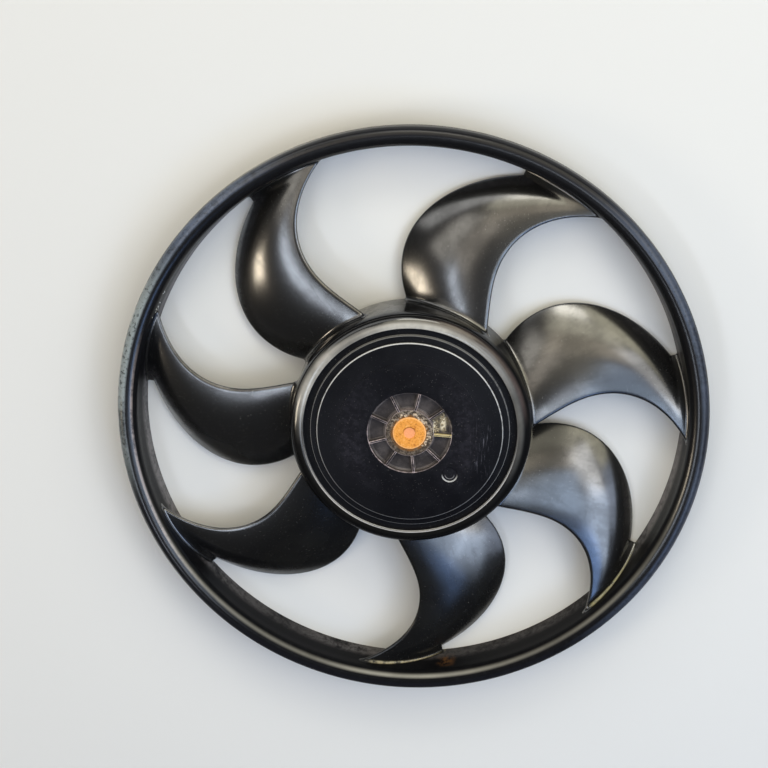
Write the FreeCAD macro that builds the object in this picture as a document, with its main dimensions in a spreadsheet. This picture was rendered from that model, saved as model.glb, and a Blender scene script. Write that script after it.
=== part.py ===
import FreeCAD, Part
import math
import os
import re

import Sketcher

# Axial fan impeller: hub cup, seven swept blades and an outer ring in one moulding, with a steel bush in its boss.
# The wheel lies flat with its front up. Its axis is Z, and the ring's rear edge is at height zero.

SIZES = {
    # Outer ring: a J section, open to the rear
    "ring_radius": 195,
    "ring_height": 31,
    "ring_wall": 2.5,
    "rim_width": 12.7,
    "bead_radius": 5.4,
    "skirt_depth": 12.5,
    "throat_height": 19.4,
    "throat_draft": 2.5,
    # Hub cup
    "hub_radius": 79,
    "hub_height": 47.8,
    "hub_wall": 3,
    "hub_rear": 6,
    "shoulder_radius": 8.8,
    "rim_land": 0.6,
    "rim_drop": 2,
    "groove_width": 4.9,
    "groove_depth": 5.8,
    "ledge_width": 4.2,
    "ledge_drop": 2.6,
    "disc_chamfer": 0.8,
    "cup_bevel": 4,
    "face_step_radius": 47,
    "face_step": 0.3,
    # Boss, the pockets round it and the ribs between them
    "boss_radius": 15.9,
    "boss_length": 22,
    "pocket_radius": 27.1,
    "pocket_depth": 3.6,
    "spoke_count": 9,
    "spoke_width": 1.5,
    "spoke_angle": 356,
    "cup_rib_height": 7,
    "cup_rib_width": 2,
    "mark_radius": 5.15,
    "mark_reach": 38.5,
    "mark_angle": 313,
    "mark_depth": 0.6,
    # Steel bush
    "bush_radius": 10.9,
    "bush_proud": 0.4,
    "bush_chamfer": 0.6,
    "bush_cap": 4.5,
    "bush_bore_radius": 4,
    "centre_radius": 3.9,
    "centre_depth": 0.5,
    # Blade outline: degrees round the axis, and reaches outward from the hub or inward from the throat
    "lead_root_angle": -0.8,
    "lead_bulge_angle": 9.6,
    "lead_bulge_reach": 45,
    "lead_tip_angle": -4.2,
    "trail_root_angle": 40,
    "trail_bulge_angle": 41.7,
    "trail_bulge_reach": 16.5,
    "trail_corner_angle": 13.7,
    "trail_corner_inset": 6.8,
    # Blade pitch and section
    "lead_root_height": 29,
    "lead_tip_height": 18,
    "trail_root_height": 7.4,
    "trail_tip_height": 1.6,
    "blade_camber": 4.6,
    "lead_thickness": 2.8,
    "trail_thickness": 1.6,
    # Blades stand at uneven angles, which breaks up the fan's tone
    "blade_angle_1": 0,
    "blade_angle_2": 52.6,
    "blade_angle_3": 112.6,
    "blade_angle_4": 160.3,
    "blade_angle_5": 205.5,
    "blade_angle_6": 263.4,
    "blade_angle_7": 315.1,
}
BLADE_COUNT = 7
LOFT_SECTIONS = 10
SECTION_POINTS = 6
NOSE_FLATS = 3

doc = FreeCAD.newDocument("FanImpeller")
sheet = doc.addObject("Spreadsheet::Sheet", "Sizes")
for row, (alias, number) in enumerate(SIZES.items(), start=1):
    sheet.set(f"A{row}", alias)
    sheet.set(f"B{row}", str(number))
    sheet.setAlias(f"B{row}", alias)
doc.recompute()


# Expressions and sketches

def from_sheet(expression):
    return re.sub(r"[a-z][a-z_0-9]*", lambda word: "Sizes." + word.group(), expression)


def value(expression):
    return float(sheet.evalExpression(from_sheet(expression)))


def bind(feature, target, expression):
    feature.setExpression(target, from_sheet(expression))


def origin_part(body, role):
    return next(f for f in body.Origin.OriginFeatures if f.Role == role)


def new_body(name):
    return doc.addObject("PartDesign::Body", name)


def new_sketch(body, name, plane):
    sketch = body.newObject("Sketcher::SketchObject", name)
    sketch.AttachmentSupport = (origin_part(body, plane), "")
    sketch.MapMode = "FlatFace"
    return sketch


def pin(sketch, shape, point, axis, expression):
    if expression == "0":
        other_axis = -2 if axis == "DistanceX" else -1
        sketch.addConstraint(Sketcher.Constraint("PointOnObject", shape, point, other_axis))
        return
    constraint = Sketcher.Constraint(axis, -1, 1, shape, point, value(expression))
    bind(sketch, f"Constraints[{sketch.addConstraint(constraint)}]", expression)


def draw_outline(sketch, corners):
    spots = [FreeCAD.Vector(value(x), value(y), 0) for x, y in corners]
    for start, end in zip(spots, spots[1:] + spots[:1]):
        sketch.addGeometry(Part.LineSegment(start, end))
    for line in range(len(spots)):
        following = (line + 1) % len(spots)
        sketch.addConstraint(Sketcher.Constraint("Coincident", line, 2, following, 1))
    for line, (x, y) in enumerate(corners):
        pin(sketch, line, 1, "DistanceX", x)
        pin(sketch, line, 1, "DistanceY", y)


def quarter_round(centre, radius, start_angle, turn=-90, flats=3):
    # A quarter circle in a section, turned as a few short cones to keep the mesh light
    angles = [math.radians(start_angle + turn * step / flats) for step in range(flats + 1)]
    return [tuple(
        f"{axis} + ({radius}) * ({share:.6f})" for axis, share in zip(centre, (math.cos(angle), math.sin(angle)))
    ) for angle in angles]


def draw_circle(sketch, x, radius):
    centre = FreeCAD.Vector(value(x), 0, 0)
    sketch.addGeometry(Part.Circle(centre, FreeCAD.Vector(0, 0, 1), value(radius)))
    pin(sketch, 0, 3, "DistanceX", x)
    pin(sketch, 0, 3, "DistanceY", "0")
    size = sketch.addConstraint(Sketcher.Constraint("Radius", 0, value(radius)))
    bind(sketch, f"Constraints[{size}]", radius)


def revolve(body, name, corners):
    sketch = new_sketch(body, name + "_section", "XZ_Plane")
    draw_outline(sketch, corners)
    feature = body.newObject("PartDesign::Revolution", name)
    feature.Profile = sketch
    feature.ReferenceAxis = (sketch, ["V_Axis"])
    feature.Angle = 360
    doc.recompute()
    return feature


def ring_edges(shape, radius, height):
    names = []
    for number, edge in enumerate(shape.Edges, start=1):
        spot = edge.Vertexes[0].Point
        if abs(math.hypot(spot.x, spot.y) - value(radius)) < 1e-4 and abs(spot.z - value(height)) < 1e-4:
            if isinstance(edge.Curve, Part.Circle):
                names.append(f"Edge{number}")
    return names


def chamfer_rim(body, name, radius, height, size):
    base = body.Tip
    feature = body.newObject("PartDesign::Chamfer", name)
    feature.Base = (base, ring_edges(base.Shape, radius, height))
    bind(feature, "Size", size)
    body.Tip = feature
    doc.recompute()


def repeat_round(body, name, original):
    pattern = body.newObject("PartDesign::PolarPattern", name)
    pattern.Originals = [original]
    pattern.Axis = (origin_part(body, "Z_Axis"), [""])
    pattern.Angle = 360
    bind(pattern, "Occurrences", "spoke_count")
    body.Tip = pattern
    doc.recompute()


# Outer ring

def make_ring():
    body = new_body("ring")
    throat = "ring_radius - rim_width"
    skirt_end = "ring_height - skirt_depth"
    skirt_inside = "ring_radius - ring_wall"
    throat_bead = "(rim_width - bead_radius)"
    outer_centre = ("ring_radius - bead_radius", "ring_height - bead_radius")
    throat_centre = ("ring_radius - bead_radius", "ring_height - " + throat_bead)
    outer_bead = quarter_round(outer_centre, "bead_radius", 90)
    channel = quarter_round(outer_centre, "bead_radius - ring_wall", 0, turn=90, flats=1)
    channel += quarter_round(throat_centre, throat_bead + " - ring_wall", 90, turn=90, flats=1)[1:]
    revolve(body, "ring_wall_and_skirt", [
        (throat + " - throat_draft", "0"),
        (throat, "throat_height"),
        *quarter_round(throat_centre, throat_bead, 180)[:-1],
        *outer_bead,
        ("ring_radius", skirt_end),
        (skirt_inside, skirt_end),
        *channel,
        (throat + " + ring_wall", "throat_height"),
        (throat + " - throat_draft + ring_wall", "0"),
    ])
    return body


# Hub cup with its boss

def make_hub():
    body = new_body("hub")
    groove_outside = "hub_radius - shoulder_radius - rim_land"
    groove_inside = groove_outside + " - groove_width"
    disc = groove_inside + " - ledge_width"
    cup_inside = "hub_radius - hub_wall"
    groove_floor = "hub_height - groove_depth"
    ledge = "hub_height - ledge_drop"
    rim = "hub_height - rim_drop"
    pocket_floor = "hub_height - pocket_depth"
    outer_face = "hub_height - face_step"
    boss_end = "hub_height - boss_length"
    shoulder_centre = ("hub_radius - shoulder_radius", rim + " - shoulder_radius")
    corner_centre = (cup_inside + " - cup_bevel", groove_floor + " - hub_wall - cup_bevel")
    revolve(body, "cup", [
        ("bush_radius", "hub_height"),
        ("boss_radius", "hub_height"),
        ("boss_radius", pocket_floor),
        ("pocket_radius", pocket_floor),
        ("pocket_radius", "hub_height"),
        ("face_step_radius", "hub_height"),
        ("face_step_radius", outer_face),
        (disc, outer_face),
        (disc, ledge),
        (groove_inside, ledge),
        (groove_inside, groove_floor),
        (groove_outside, groove_floor),
        (groove_outside, rim),
        *quarter_round(shoulder_centre, "shoulder_radius", 90),
        ("hub_radius", "hub_rear"),
        (cup_inside, "hub_rear"),
        *quarter_round(corner_centre, "cup_bevel", 0, turn=90, flats=1),
        (disc + " - hub_wall", groove_floor + " - hub_wall"),
        (disc + " - hub_wall", outer_face + " - hub_wall"),
        ("pocket_radius + hub_wall", outer_face + " - hub_wall"),
        ("pocket_radius + hub_wall", pocket_floor + " - hub_wall"),
        ("boss_radius", pocket_floor + " - hub_wall"),
        ("boss_radius", boss_end),
        ("bush_radius", boss_end),
    ])
    chamfer_rim(body, "disc_edge", disc, outer_face, "disc_chamfer")
    add_spokes(body)
    add_cup_ribs(body, cup_inside, disc, groove_floor, outer_face)
    add_mark(body)
    return body


# Nine ribs across the ring of pockets, level with the front face

def add_spokes(body):
    sketch = new_sketch(body, "spoke_plan", "XY_Plane")
    bind(sketch, "AttachmentOffset.Base.z", "hub_height")
    bind(sketch, "AttachmentOffset.Rotation.Angle", "spoke_angle")
    inside = "boss_radius - hub_wall / 2"
    outside = "pocket_radius + hub_wall / 2"
    draw_outline(sketch, [
        (inside, "-spoke_width / 2"),
        (outside, "-spoke_width / 2"),
        (outside, "spoke_width / 2"),
        (inside, "spoke_width / 2"),
    ])
    pad = body.newObject("PartDesign::Pad", "spoke")
    pad.Profile = sketch
    pad.Reversed = True
    bind(pad, "Length", "pocket_depth + hub_wall / 2")
    doc.recompute()
    repeat_round(body, "spokes", pad)


# Stiffening ribs under the front wall, from the boss to the cup's side

def add_cup_ribs(body, cup_inside, disc, groove_floor, outer_face):
    sketch = new_sketch(body, "cup_rib_section", "XZ_Plane")
    bite = "hub_wall / 2"
    side = f"{cup_inside} + {bite}"
    under_groove = f"{groove_floor} - {bite}"
    under_disc = f"{outer_face} - {bite}"
    under_pockets = f"hub_height - pocket_depth - {bite}"
    rib_end = f"{groove_floor} - hub_wall - cup_rib_height"
    draw_outline(sketch, [
        (f"boss_radius - {bite}", rib_end),
        (side, rib_end),
        (side, under_groove),
        (f"{disc} - {bite}", under_groove),
        (f"{disc} - {bite}", under_disc),
        (f"pocket_radius + {bite}", under_disc),
        (f"pocket_radius + {bite}", under_pockets),
        (f"boss_radius - {bite}", under_pockets),
    ])
    pad = body.newObject("PartDesign::Pad", "cup_rib")
    pad.Profile = sketch
    pad.Midplane = True
    bind(pad, "Length", "cup_rib_width")
    doc.recompute()
    repeat_round(body, "cup_ribs", pad)


# Round gate mark sunk in the front face

def add_mark(body):
    sketch = new_sketch(body, "mark_plan", "XY_Plane")
    bind(sketch, "AttachmentOffset.Base.z", "hub_height")
    bind(sketch, "AttachmentOffset.Rotation.Angle", "mark_angle")
    draw_circle(sketch, "mark_reach", "mark_radius")
    volume = body.Tip.Shape.Volume
    pocket = body.newObject("PartDesign::Pocket", "mark")
    pocket.Profile = sketch
    bind(pocket, "Length", "mark_depth")
    doc.recompute()
    if body.Tip.Shape.Volume >= volume:
        raise RuntimeError("the gate mark cuts nothing")


# Blade: sections that lie on cylinders round the axis, lofted outward from the hub's wall

def bowed(radius, root, bulge, tip):
    end = root if radius < bulge[0] else tip
    part = (radius - bulge[0]) / (end[0] - bulge[0])
    return bulge[1] - (bulge[1] - end[1]) * part**2


def blend(start, end, part):
    return start + (end - start) * part


def edge_angles(radius):
    hub = value("hub_radius")
    throat = value("ring_radius - rim_width")
    corner = throat - value("trail_corner_inset")
    lead = bowed(
        radius,
        (hub, value("lead_root_angle")),
        (hub + value("lead_bulge_reach"), value("lead_bulge_angle")),
        (throat, value("lead_tip_angle")),
    )
    trail = bowed(
        min(radius, corner),
        (hub, value("trail_root_angle")),
        (hub + value("trail_bulge_reach"), value("trail_bulge_angle")),
        (corner, value("trail_corner_angle")),
    )
    return math.radians(lead), math.radians(trail)


def edge_heights(radius):
    hub = value("hub_radius")
    part = (radius - hub) / (value("ring_radius - rim_width") - hub)
    lead = blend(value("lead_root_height"), value("lead_tip_height"), part)
    trail = blend(value("trail_root_height"), value("trail_tip_height"), part)
    return lead, trail


def blade_section(radius):
    lead, trail = edge_angles(radius)
    lead_height, trail_height = edge_heights(radius)
    along = radius * (trail - lead)
    down = trail_height - lead_height
    chord = math.hypot(along, down)

    def offset(part, side):
        camber = 4 * value("blade_camber") * part * (1 - part)
        camber_slope = 4 * value("blade_camber") * (1 - 2 * part) / chord
        tilt = math.atan2(down, along) + math.atan(camber_slope)
        half = blend(value("lead_thickness"), value("trail_thickness"), part) / 2
        across = camber * -down / chord - side * half * math.sin(tilt)
        rise = camber * along / chord + side * half * math.cos(tilt)
        return on_cylinder(along * part + across, lead_height + down * part + rise)

    def on_cylinder(distance, height):
        turn = lead + distance / radius
        return FreeCAD.Vector(radius * math.cos(turn), radius * math.sin(turn), height)

    def nose_spot(part):
        # The rounded leading edge runs from the rear face round to the front one
        half = value("lead_thickness") / 2
        tilt = math.atan2(down, along) + math.atan(4 * value("blade_camber") / chord)
        angle = tilt - math.pi * (0.5 + part)
        return on_cylinder(half * math.cos(angle), lead_height + half * math.sin(angle))

    parts = [step / (SECTION_POINTS - 1) for step in range(SECTION_POINTS)]
    front = [offset(part, 1) for part in parts]
    rear = [offset(part, -1) for part in reversed(parts)]
    front_curve = Part.BSplineCurve()
    front_curve.interpolate(front)
    rear_curve = Part.BSplineCurve()
    rear_curve.interpolate(rear)
    nose = [nose_spot(step / NOSE_FLATS) for step in range(1, NOSE_FLATS)]
    nose_lines = Part.makePolygon([rear[-1], *nose, front[0]]).Edges
    tail_line = Part.makeLine(front[-1], rear[0])
    return Part.Wire([front_curve.toShape(), tail_line, rear_curve.toShape(), *nose_lines])


def blade_solid():
    root = value("hub_radius - hub_wall / 2")
    throat = value("ring_radius - rim_width")
    corner = throat - value("trail_corner_inset")
    beyond = throat + value("ring_wall")
    sections = [
        blade_section(blend(root, corner, step / (LOFT_SECTIONS - 1))) for step in range(LOFT_SECTIONS)
    ]
    end = blade_section(beyond)
    swept = Part.makeLoft(sections, False, True)
    square_tip = Part.makeLoft([sections[-1], end], False, True)
    caps = [Part.makeFilledFace(wire.Edges) for wire in (sections[0], end)]
    skin = Part.makeShell(swept.Faces + square_tip.Faces + caps)
    skin.sewShape()
    solid = Part.makeSolid(skin)
    if solid.Volume < 0:
        solid.reverse()
    return solid


def make_blades():
    loft = doc.addObject("Part::Feature", "blade_loft")
    loft.Shape = blade_solid()
    # The blade ends in the middle of the ring's wall, which leans outward to the front
    bore = doc.addObject("Part::Cone", "ring_bore")
    middle = "ring_radius - rim_width + ring_wall / 2"
    bind(bore, "Radius1", middle + " - throat_draft")
    bind(bore, "Radius2", middle + " + throat_draft * (ring_height / throat_height - 1)")
    bind(bore, "Height", "ring_height")
    blade = doc.addObject("Part::Common", "blade")
    blade.Base = loft
    blade.Tool = bore
    doc.recompute()
    copies = []
    for number in range(1, BLADE_COUNT + 1):
        copy = doc.addObject("App::Link", f"blade_{number}")
        copy.LinkedObject = blade
        copy.Placement.Rotation = FreeCAD.Rotation(FreeCAD.Vector(0, 0, 1), 1)
        bind(copy, "Placement.Rotation.Angle", f"blade_angle_{number}")
        copies.append(copy)
    doc.recompute()
    return copies


# One moulding

def make_impeller():
    pieces = [make_hub(), make_ring()] + make_blades()
    moulding = doc.addObject("Part::MultiFuse", "impeller")
    moulding.Label = "impeller"
    moulding.Shapes = pieces
    moulding.Refine = True
    doc.recompute()
    return moulding


# Steel bush: bored from the rear for the motor shaft, closed at the front round a shallow turned centre

def make_bush():
    body = new_body("bush")
    body.Label = "hub_bush"
    top = "hub_height + bush_proud"
    bottom = "hub_height - boss_length"
    revolve(body, "turned_bush", [
        ("0", top + " - centre_depth"),
        ("centre_radius", top + " - centre_depth"),
        ("centre_radius", top),
        ("bush_radius", top),
        ("bush_radius", bottom),
        ("bush_bore_radius", bottom),
        ("bush_bore_radius", top + " - bush_cap"),
        ("0", top + " - bush_cap"),
    ])
    chamfer_rim(body, "bush_edge", "bush_radius", top, "bush_chamfer")
    return body


def check_document(nodes):
    for item in doc.Objects:
        if "Invalid" in item.State or "Error" in item.State:
            raise RuntimeError(f"{item.Name} failed: {item.State}")
    for node in nodes:
        if node.Shape.isNull() or not node.Shape.isValid():
            raise RuntimeError(f"{node.Label} has no valid shape")
        if len(node.Shape.Solids) != 1:
            raise RuntimeError(f"{node.Label} has {len(node.Shape.Solids)} solids")


nodes = [make_impeller(), make_bush()]
doc.recompute()
check_document(nodes)
os.makedirs("parts", exist_ok=True)
for node in nodes:
    node.Shape.exportStep(f"parts/{node.Label}.step")
    box = node.Shape.BoundBox
    print(node.Label, round(node.Shape.Volume / 1000, 1), "cm3", [round(d, 2) for d in (
        box.XMin, box.XMax, box.YMin, box.YMax, box.ZMin, box.ZMax)])
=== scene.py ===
import bmesh
import bpy
import math
from mathutils import Matrix, Vector


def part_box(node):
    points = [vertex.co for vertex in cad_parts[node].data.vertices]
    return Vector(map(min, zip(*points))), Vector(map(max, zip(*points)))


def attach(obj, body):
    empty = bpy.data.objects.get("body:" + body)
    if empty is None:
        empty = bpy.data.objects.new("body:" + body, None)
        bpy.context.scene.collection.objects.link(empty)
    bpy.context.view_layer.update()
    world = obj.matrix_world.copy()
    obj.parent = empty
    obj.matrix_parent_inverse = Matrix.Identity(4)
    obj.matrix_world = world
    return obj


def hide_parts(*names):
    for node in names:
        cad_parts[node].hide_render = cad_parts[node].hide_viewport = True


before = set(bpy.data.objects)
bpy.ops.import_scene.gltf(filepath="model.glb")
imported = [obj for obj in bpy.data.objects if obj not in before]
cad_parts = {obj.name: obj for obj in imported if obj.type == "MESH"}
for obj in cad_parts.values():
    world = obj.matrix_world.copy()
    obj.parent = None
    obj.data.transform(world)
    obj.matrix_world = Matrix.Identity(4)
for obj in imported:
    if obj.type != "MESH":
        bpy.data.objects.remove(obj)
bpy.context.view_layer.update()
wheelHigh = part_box("impeller")[1]
mm = 0.001
weld = 0.002 * mm
bumpDepth = 0.1 * mm
ringRadius = wheelHigh.x / mm
hubHeight = wheelHigh.z / mm


# Node trees: a wire is an output socket that takes part in Python arithmetic

def operator(operation, reflected=False):
    def method(self, other):
        values = (other, self) if reflected else (self, other)
        return self.graph.math(operation, *values)
    return method


class Wire:
    def __init__(self, graph, socket):
        self.graph = graph
        self.socket = socket

    __add__, __radd__ = operator("ADD"), operator("ADD", True)
    __sub__, __rsub__ = operator("SUBTRACT"), operator("SUBTRACT", True)
    __mul__, __rmul__ = operator("MULTIPLY"), operator("MULTIPLY", True)
    __truediv__ = operator("DIVIDE")
    __pow__ = operator("POWER")

    def __neg__(self):
        return self * -1

    def calc(self, operation, *others):
        return self.graph.math(operation, self, *others)

    def clamped(self):
        return self.calc("MAXIMUM", 0).calc("MINIMUM", 1)

    def other(self, key):
        return Wire(self.graph, self.socket.node.outputs[key])


class Graph:
    def __init__(self, tree):
        self.tree = tree

    def make(self, kind, sockets=None, settings=None, out=0):
        made = self.tree.nodes.new(kind)
        for name, setting in (settings or {}).items():
            if name == "stops":
                self.setStops(made.color_ramp, setting)
            else:
                setattr(made, name, setting)
        for key, given in (sockets or {}).items():
            if isinstance(given, Wire):
                self.tree.links.new(given.socket, made.inputs[key])
            else:
                made.inputs[key].default_value = given
        return Wire(self, made.outputs[out])

    def setStops(self, ramp, stops):
        while len(ramp.elements) < len(stops):
            ramp.elements.new(0.5)
        for element, (place, colour) in zip(ramp.elements, stops):
            element.position = place
            element.color = (*colour, 1)

    def math(self, operation, *values):
        return self.make("ShaderNodeMath", dict(enumerate(values)), {"operation": operation})

    def mixColour(self, factor, first, second):
        sockets = {0: factor, 6: rgba(first), 7: rgba(second)}
        return self.make("ShaderNodeMix", sockets, {"data_type": "RGBA"}, out=2)


def rgba(colour):
    return colour if isinstance(colour, Wire) else (*colour[:3], 1)


# Meshes

def meshObject(name, vertices, faces):
    mesh = bpy.data.meshes.new(name)
    mesh.from_pydata([[c * mm for c in v] for v in vertices], [], faces)
    item = bpy.data.objects.new(name, mesh)
    bpy.context.scene.collection.objects.link(item)
    return item


def closeUp(mesh, fillHoles=False):
    work = bmesh.new()
    work.from_mesh(mesh)
    bmesh.ops.remove_doubles(work, verts=work.verts, dist=weld)
    if fillHoles:
        bmesh.ops.holes_fill(work, edges=work.edges, sides=0)
    bmesh.ops.recalc_face_normals(work, faces=work.faces)
    work.to_mesh(mesh)
    work.free()


def smooth(item, angle=32):
    item.data.shade_smooth()
    item.data.set_sharp_from_angle(angle=math.radians(angle))


def roundedOutline(corners, arcStep):
    # Each corner is radius from the axis, height, and the radius that rounds it
    points = []
    count = len(corners)
    for number, (x, z, size) in enumerate(corners):
        here = Vector((x, z))
        before = Vector(corners[number - 1][:2]) - here
        after = Vector(corners[(number + 1) % count][:2]) - here
        before.normalize()
        after.normalize()
        opening = before.angle(after)
        if size == 0 or opening > math.pi - 0.01:
            points.append((x, z))
            continue
        reach = size / math.tan(opening / 2)
        start = here + before * reach
        centre = here + (before + after).normalized() * (size / math.sin(opening / 2))
        swing = math.pi - opening
        turn = -math.copysign(swing, before.x * after.y - before.y * after.x)
        steps = max(1, round(math.degrees(swing) / arcStep))
        for step in range(steps + 1):
            spoke = Matrix.Rotation(turn * step / steps, 2) @ (start - centre)
            points.append(tuple(centre + spoke))
    return points


def spin(name, outline, segments):
    vertices = []
    faces = []
    count = len(outline)
    for turn in range(segments):
        angle = 2 * math.pi * turn / segments
        for x, z in outline:
            vertices.append((x * math.cos(angle), x * math.sin(angle), z))
    for turn in range(segments):
        here = turn * count
        following = ((turn + 1) % segments) * count
        for step in range(count):
            other = (step + 1) % count
            if outline[step][0] == 0 and outline[other][0] == 0:
                continue
            faces.append((here + step, here + other, following + other, following + step))
    item = meshObject(name, vertices, faces)
    closeUp(item.data)
    smooth(item)
    return item


# Geometry node helpers

def newTree(name, sizes):
    tree = bpy.data.node_groups.new(name, "GeometryNodeTree")
    tree.interface.new_socket("Geometry", in_out="INPUT", socket_type="NodeSocketGeometry")
    tree.interface.new_socket("Geometry", in_out="OUTPUT", socket_type="NodeSocketGeometry")
    graph = Graph(tree)
    entry = tree.nodes.new("NodeGroupInput")
    identifiers = {}
    for size, number in sizes.items():
        kind = "NodeSocketInt" if isinstance(number, int) else "NodeSocketFloat"
        socket = tree.interface.new_socket(size, in_out="INPUT", socket_type=kind)
        identifiers[size] = socket.identifier
    wires = {size: Wire(graph, entry.outputs[size]) for size in (*sizes, "Geometry")}
    return graph, wires, identifiers


def finishTree(graph, instances, material):
    real = graph.make("GeometryNodeRealizeInstances", {"Geometry": instances})
    painted = graph.make("GeometryNodeSetMaterial", {"Geometry": real, "Material": material})
    result = graph.tree.nodes.new("NodeGroupOutput")
    graph.tree.links.new(painted.socket, result.inputs["Geometry"])


def applyModifiers(item):
    bpy.context.view_layer.update()
    evaluated = item.evaluated_get(bpy.context.evaluated_depsgraph_get())
    made = bpy.data.meshes.new_from_object(evaluated)
    item.modifiers.clear()
    item.data = made


def applyTree(item, graph, identifiers, sizes):
    modifier = item.modifiers.new("Made", "NODES")
    modifier.node_group = graph.tree
    for size, number in sizes.items():
        modifier[identifiers[size]] = number
    applyModifiers(item)
    item.data.name = item.name


def copied(graph, piece, count, turn, place=(0, 0, 0), scale=(1, 1, 1)):
    points = graph.make("GeometryNodePoints", {"Count": count, "Position": place})
    rotation = graph.make("ShaderNodeCombineXYZ", {"Z": turn})
    return graph.make("GeometryNodeInstanceOnPoints", {
        "Points": points, "Instance": piece, "Rotation": rotation, "Scale": scale,
    })


def aroundAxis(item, material, sizes):
    # Copies a piece round the wheel's axis
    graph, wires, identifiers = newTree(item.name + "Round", sizes)
    index = graph.make("GeometryNodeInputIndex")
    turn = index * (2 * math.pi) / wires["Count"] + wires["Start Angle"] * (math.pi / 180)
    finishTree(graph, copied(graph, wires["Geometry"], wires["Count"], turn), material)
    applyTree(item, graph, identifiers, sizes)


# Sizes of the ring, the hub and what the hub carries, in mm and degrees

ring = {
    "wall": 2.5, "rimWidth": 12.7, "beadRadius": 5.4, "height": 31, "skirtDepth": 12.5,
    "throatHeight": 19.4, "throatRound": 30, "draft": 2.5, "edge": 0.5, "arcStep": 9, "segments": 300,
}
hub = {
    "radius": 79, "wall": 3, "rear": 6, "shoulder": 8.8, "rimLand": 0.6, "rimDrop": 2,
    "grooveWidth": 4.9, "grooveDepth": 5.8, "ledgeWidth": 4.2, "ledgeDrop": 2.6,
    "discChamfer": 0.8, "cupBevel": 4, "faceStepRadius": 47, "faceStep": 0.3,
    "bossRadius": 15.9, "bossLength": 22, "pocketRadius": 27.1, "pocketDepth": 3.6,
    "edge": 0.4, "rimEdge": 0.3, "bushEdge": 0.2, "stepEdge": 0.1, "arcStep": 10, "segments": 240,
}
mark = {
    "radius": 5.15, "reach": 38.5, "angle": 313, "depth": 0.6, "ease": 0.3, "margin": 1.2,
    "segments": 48,
}
spoke = {
    "count": 9, "angle": 356.0, "width": 1.5, "below": 0.05, "sink": 0.5, "overlap": 0.3, "edge": 0.25,
}
cupRib = {"angle": 0.0, "width": 2, "height": 7, "edge": 0.3}
bush = {
    "radius": 10.9, "proud": 0.4, "chamfer": 0.6, "cap": 4.5, "bore": 4, "centreRadius": 3.9,
    "centreDepth": 0.5, "centreEdge": 0.15, "rearEdge": 0.3, "boreEdge": 0.2, "arcStep": 18,
    "segments": 96,
}
throatRadius = ringRadius - ring["rimWidth"]
bossEdge = hub["bossRadius"]
pocketEdge = hub["pocketRadius"]
rimStart = hub["radius"] - hub["shoulder"]
grooveOutside = rimStart - hub["rimLand"]
grooveInside = grooveOutside - hub["grooveWidth"]
discEdge = grooveInside - hub["ledgeWidth"]
grooveFloor = hubHeight - hub["grooveDepth"]
pocketFloor = hubHeight - hub["pocketDepth"]
outerFace = hubHeight - hub["faceStep"]
hubRim = hubHeight - hub["rimDrop"]
markX = mark["reach"] * math.cos(math.radians(mark["angle"]))
markY = mark["reach"] * math.sin(math.radians(mark["angle"]))


# Materials. A look holds colours, some with how far they cover and a ramp over the grain.
# A ramp is from and to, a band is from, to and softness, in mm or degrees on the wheel.
# A noise is scale, detail and roughness, and a pattern adds its ramp.

def wheelPlace(graph, wanted):
    # Westward is the angle counted from 0 to 360
    place = graph.make("ShaderNodeTexCoord", out=3)
    x = graph.make("ShaderNodeSeparateXYZ", {"Vector": place})
    y = x.other("Y")
    angle = y.calc("ARCTAN2", x) * (180 / math.pi)
    measures = {
        "place": place, "radius": (x * x + y * y).calc("SQRT") / mm,
        "angle": angle, "westward": (angle + 360).calc("FLOORED_MODULO", 360),
        "height": x.other("Z") / mm, "across": x / mm, "upward": y / mm,
    }
    return [measures[name] for name in wanted.split()]


def noise(place, scale, detail, roughness):
    return place.graph.make("ShaderNodeTexNoise", {
        "Vector": place, "Scale": scale, "Detail": detail, "Roughness": roughness,
    })


def ramp(source, low, high):
    return source.graph.make("ShaderNodeMapRange", {
        "Value": source, "From Min": low, "From Max": high,
    }, {"interpolation_type": "SMOOTHSTEP"})


def band(source, low, high, soft):
    return ramp(source, low - soft, low + soft) * (1 - ramp(source, high - soft, high + soft))


def pattern(place, scale, detail, roughness, low, high):
    return ramp(noise(place, scale, detail, roughness), low, high)


def streaks(first, second, stretch, detail, low, high):
    # Noise drawn out along one of two measures
    place = first.graph.make("ShaderNodeCombineXYZ", {
        "X": first * stretch[0], "Y": second * stretch[1],
    })
    return pattern(place, 1, detail, 0.6, low, high)


def atLeast(least, source):
    return least + (1 - least) * source


def paint(colour, look, name, mask, grain=None):
    tint, cover, *limits = look[name]
    if grain:
        mask = mask * ramp(grain, *limits)
    return mask.graph.mixColour(mask * cover, colour, tint)


def newMaterial(name):
    material = bpy.data.materials.new(name)
    material.use_nodes = True
    graph = Graph(material.node_tree)
    shader = material.node_tree.nodes["Principled BSDF"]
    return material, graph, shader


def feed(graph, shader, look, colour, roughness, height=None, coat=0):
    sockets = {"Base Color": colour, "Roughness": roughness, "Coat Weight": coat}
    plain = {"specular": "Specular IOR Level", "coatRoughness": "Coat Roughness", "coatIor": "Coat IOR"}
    sockets.update({name: look[key] for key, name in plain.items() if key in look})
    if height:
        sockets["Normal"] = graph.make("ShaderNodeBump", {
            "Strength": look["bump"], "Distance": bumpDepth, "Height": height,
        })
    for name, given in sockets.items():
        if isinstance(given, Wire):
            graph.tree.links.new(given.socket, shader.inputs[name])
        else:
            shader.inputs[name].default_value = given


# Dirt on two blade tips: a tip starts at the angle of its name and at the height of lead,
# and falls by drop through span, bowed upward
tipDirt = {
    "moss": -49.1, "cream": -100.8, "lead": 18, "drop": 16.4, "bow": 18.4, "span": 17.9,
    "thick": (-1.5, 2.6, 0.6), "long": (0.12, 1.02, 0.04),
}


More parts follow.
